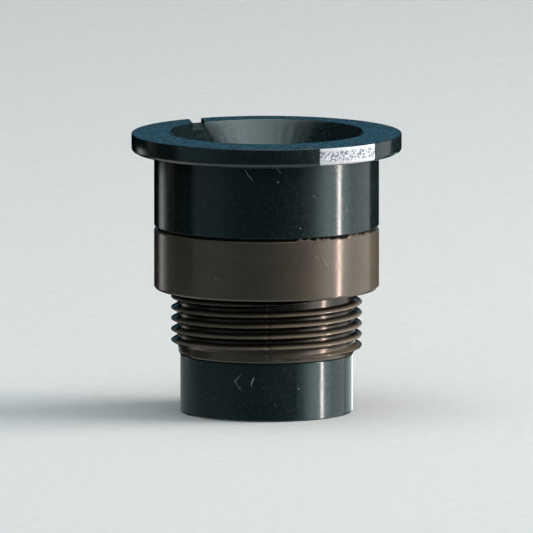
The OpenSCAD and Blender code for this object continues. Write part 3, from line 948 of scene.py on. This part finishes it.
def reflection_wall(name, low, high, stops, tint=(1, 1, 1), radius=0.5, soft=0.15):
    """Curved screen round the object that shows only as a reflection on glossy surfaces.

    It reaches from elevation low to high, and fades over the soft share at both. Each stop is an
    azimuth and the glow there.
    """
    first, last = stops[0][0], stops[-1][0]
    columns = 48
    vertices, faces, uvs = [], [], []
    for elevation in (low, high):
        for k in range(columns + 1):
            azimuth = math.radians(first + (last - first) * k / columns) + FRONT
            height = AIM.z + radius * math.tan(math.radians(elevation))
            vertices.append((radius * math.cos(azimuth), radius * math.sin(azimuth), height))
    for k in range(columns):
        faces.append((k, k + 1, columns + k + 2, columns + k + 1))
        uvs += [(k / columns, 0), ((k + 1) / columns, 0), ((k + 1) / columns, 1), (k / columns, 1)]
    wall = make_object(name, vertices, faces, uvs)
    glowing_card(wall, stops, tint, soft)


def glowing_card(card, stops, tint, soft_share=0.15):
    """Makes a screen glow as its stops say, with soft ends, and shows it only in reflections."""
    first, last = stops[0][0], stops[-1][0]
    glow = Surface(card.name)
    split = glow.node("SeparateXYZ", {"Vector": glow.node("UVMap", uv_map="Around").outputs["UV"]})
    across = glow.tree.nodes.new("ShaderNodeValToRGB")
    glow.feed(across.inputs[0], split.outputs["X"])
    brightest = max(strength for place, strength in stops)
    points = across.color_ramp.elements
    while len(points) < len(stops):
        points.new(0.5)
    for point, (place, strength) in zip(points, stops):
        point.position = (place - first) / (last - first)
        share = strength / brightest
        point.color = (share, share, share, 1)
    up = split.outputs["Y"]
    soft = glow.math("MULTIPLY", glow.ramp(up, 0, soft_share), glow.ramp(up, 1, 1 - soft_share))
    strength = glow.math("MULTIPLY", glow.math("MULTIPLY", across.outputs["Color"], soft), brightest)
    emission = glow.node("Emission", {"Color": (*tint, 1), "Strength": strength})
    glow.tree.links.new(emission.outputs[0], glow.tree.nodes["Material Output"].inputs["Surface"])
    glow.material.cycles.emission_sampling = "NONE"
    card.data.materials.append(glow.material)
    card.visible_camera = False
    card.visible_diffuse = False
    card.visible_shadow = False
    card.visible_transmission = False


def reflection_sheet(name, height, reach, stops, tint=(1, 1, 1)):
    """Level screen, seen only in reflections. Each stop is a place from left to right and its glow."""
    first, last = stops[0][0], stops[-1][0]
    near, far = reach
    corners = [(first, near, height), (last, near, height), (last, far, height), (first, far, height)]
    sheet = make_object(name, corners, [(0, 1, 2, 3)], [(0, 0), (1, 0), (1, 1), (0, 1)])
    glowing_card(sheet, stops, tint)


def make_floor():
    """Plain pale floor. It is left out of the object's reflections, as on a wide studio table."""
    half = 3.0
    corners = [(-half, -half, 0), (half, -half, 0), (half, half, 0), (-half, half, 0)]
    floor = make_object("floor", corners, [(0, 1, 2, 3)])
    s = Surface("floor_paper")
    where = s.node("TexCoord").outputs["Object"]
    fibre = s.noise(where, 900, 4, 0.6)
    s.set(base_color=s.mix(s.ramp(fibre, 0.3, 0.7), (0.72, 0.715, 0.71, 1), (0.77, 0.765, 0.76, 1)))
    s.shader.inputs["Roughness"].default_value = 0.9
    s.set(normal=s.bump(fibre, 0.01 * MM, 0.3))
    # from below the floor can't be seen, so the underside of the object can
    clear = s.node("BsdfTransparent").outputs[0]
    behind = s.node("NewGeometry").outputs["Backfacing"]
    shown = s.node("MixShader", {0: behind, 1: s.shader.outputs[0], 2: clear}).outputs[0]
    s.tree.links.new(shown, s.tree.nodes["Material Output"].inputs["Surface"])
    floor.data.materials.append(s.material)
    floor.visible_glossy = False
    floor.visible_diffuse = False


def make_world():
    """Even studio surroundings: dim below and at the level of the object, and paler overhead."""
    world = bpy.data.worlds.new("studio")
    world.use_nodes = True
    world.cycles_visibility.glossy = False
    bpy.context.scene.world = world
    tree = world.node_tree
    where = tree.nodes.new("ShaderNodeTexCoord")
    split = tree.nodes.new("ShaderNodeSeparateXYZ")
    height = tree.nodes.new("ShaderNodeMapRange")
    ramp = tree.nodes.new("ShaderNodeValToRGB")
    height.inputs["From Min"].default_value = -1
    tree.links.new(where.outputs["Generated"], split.inputs[0])
    tree.links.new(split.outputs["Z"], height.inputs["Value"])
    tree.links.new(height.outputs["Result"], ramp.inputs[0])
    tree.links.new(ramp.outputs[0], tree.nodes["Background"].inputs["Color"])
    points = ramp.color_ramp.elements
    points[0].color = (0.03, 0.045, 0.05, 1)
    points[0].position = 0.45
    points[1].color = (0.2, 0.23, 0.24, 1)
    points[1].position = 0.8


def make_lights():
    """Three softboxes: overhead, key and fill."""
    soft_light("overhead", -10, 84, 0.7, 0.8, 0.5, 2.6, (0.9, 1.0, 1.02))
    soft_light("right_key", 93, 14, 0.7, 0.45, 0.4, 8.5, (1.0, 0.98, 0.95))
    soft_light("front_fill", -20, 24, 0.9, 0.9, 0.6, 0.9, (0.92, 1.0, 1.0))


def make_screens():
    """Screens that the glossy plastic reflects as its streaks, its sheen and the rim's blue."""
    bowl_glow = [
        (-0.3, 0), (-0.2, 0.5), (-0.1, 1.8), (0.02, 3.0), (0.14, 3.8), (0.22, 3.0), (0.3, 1.2), (0.36, 0),
    ]
    reflection_sheet("ceiling_screen", 0.5, (-0.3, 0.4), bowl_glow)
    table_glow = [(-0.8, 0), (-0.5, 0.9), (0.2, 1.1), (0.6, 1.4), (0.9, 0)]
    reflection_sheet("table_screen", -0.25, (-0.75, 0.4), table_glow, (1.0, 0.98, 0.94))
    bright_line = [(76.7, 0), (79.2, 30), (80.6, 31), (83.0, 0)]
    reflection_wall("right_streak", -55, 60, bright_line, (1.12, 0.85, 0.79))
    broad = [
        (24, 0.12), (35, 0.2), (48, 0.6), (58, 1.8), (66, 2.7), (88, 2.5), (97, 1.3), (112, 1.2),
        (130, 0.95), (133, 0),
    ]
    reflection_wall("right_screen", -30, 15, broad, radius=0.52)
    narrow = [(-142, 0), (-135, 0.9), (-130.5, 1.25), (-125.5, 0.65), (-119.5, 0.2), (-111, 0)]
    reflection_wall("left_streak", -11.2, -2.1, narrow, radius=0.1, soft=0.04)
    warm = [(-124, 0), (-118, 0.2), (-113, 0.12), (-107, 0.02), (-86, 0.04)]
    reflection_wall("left_wall", -30, 10, warm, (1.0, 0.8, 0.68))
    dim = [(-85, 0), (-78, 0.3), (-50, 0.28), (-28, 0.14), (0, 0.1), (15, 0.12), (28, 0.18)]
    reflection_wall("front_screen", -30, 10, dim, (0.75, 1.0, 1.02))
    near = [(-180, 0), (-160, 0.27), (-110, 0.26), (-80, 0.24), (-20, 0.16), (30, 0.16), (40, 0)]
    reflection_wall("near_table", -14.4, -9.9, near, (0.85, 1.0, 1.0), 0.12)
    beside = [(127, 0), (131, 0.8), (150, 1.0), (164, 2.4), (178, 3.0)]
    reflection_wall("near_table_right", -14.4, -9.9, beside, (0.85, 1.0, 1.0), 0.12)
    behind = [(166, 0), (172, 1), (188, 1), (194, 0)]
    reflection_wall("back_screen", 4.5, 19, behind, (0.08, 0.29, 0.44), soft=0.3)


bpy.context.scene.view_settings.view_transform = "Standard"
build_cap()
build_body()
build_sleeve()
build_patch()
build_nicks()
dress_inner_pieces()
make_floor()
make_world()
make_lights()
make_screens()
make_camera()
